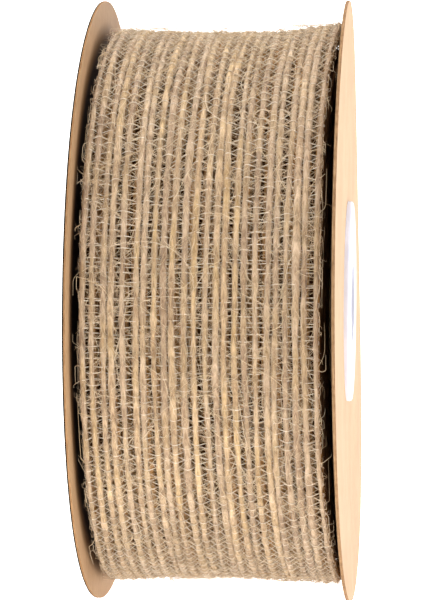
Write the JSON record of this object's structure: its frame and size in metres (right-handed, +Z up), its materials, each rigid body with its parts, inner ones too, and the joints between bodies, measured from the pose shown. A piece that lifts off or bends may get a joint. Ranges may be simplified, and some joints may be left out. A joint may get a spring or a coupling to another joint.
{
  "type": "ribbon spool",
  "caption": "Loosely woven jute ribbon wound on a cardboard core between two kraft board flanges, with white hub plugs and a spindle hole.",
  "frame": {"origin": "on the spool's axis, midway between the two flanges", "axes": "+X along the spool's axis towards the right flange, +Z up with the spool standing on its rims, -Y towards the viewer"},
  "size_m": [0.0594, 0.1396, 0.1396],
  "materials": {
    "kraft_board": "uncoated kraft liner",
    "core_board": "spiral-wound paper tube",
    "hub_plastic": "moulded, slightly satin",
    "tape_paper": "creped masking tape",
    "jute_cloth": "open plain weave, unbleached",
    "jute_yarn": "hand-spun, hairy",
    "weft_thread": "fine pale thread"
  },
  "bodies": {
    "spool": {"left_flange": "kraft_board", "right_flange": "kraft_board", "core_tube": "core_board", "left_hub_plug": "hub_plastic", "right_hub_plug": "hub_plastic", "start_tape": "tape_paper", "ribbon_winding": "jute_cloth", "weft_threads": "weft_thread", "warp_yarn_01": "jute_yarn", "warp_yarn_02": "jute_yarn", "warp_yarn_03": "jute_yarn", "warp_yarn_04": "jute_yarn", "warp_yarn_05": "jute_yarn", "warp_yarn_06": "jute_yarn", "warp_yarn_07": "jute_yarn", "warp_yarn_08": "jute_yarn", "warp_yarn_09": "jute_yarn", "warp_yarn_10": "jute_yarn", "warp_yarn_11": "jute_yarn", "warp_yarn_12": "jute_yarn", "warp_yarn_13": "jute_yarn", "warp_yarn_14": "jute_yarn", "warp_yarn_15": "jute_yarn", "warp_yarn_16": "jute_yarn", "warp_yarn_17": "jute_yarn", "warp_yarn_18": "jute_yarn", "warp_yarn_19": "jute_yarn", "warp_yarn_20": "jute_yarn", "warp_yarn_21": "jute_yarn", "warp_yarn_22": "jute_yarn", "warp_yarn_23": "jute_yarn", "warp_yarn_24": "jute_yarn"},
    "free_end": {"ribbon_tail": "jute_cloth"}
  },
  "joints": [
    {"name": "free_end_lift", "type": "hinge", "parent": "spool", "child": "free_end", "pos_m": [0, 0.02189, 0.05924], "axis": [1, 0, 0], "range_deg": [0, 110]}
  ]
}
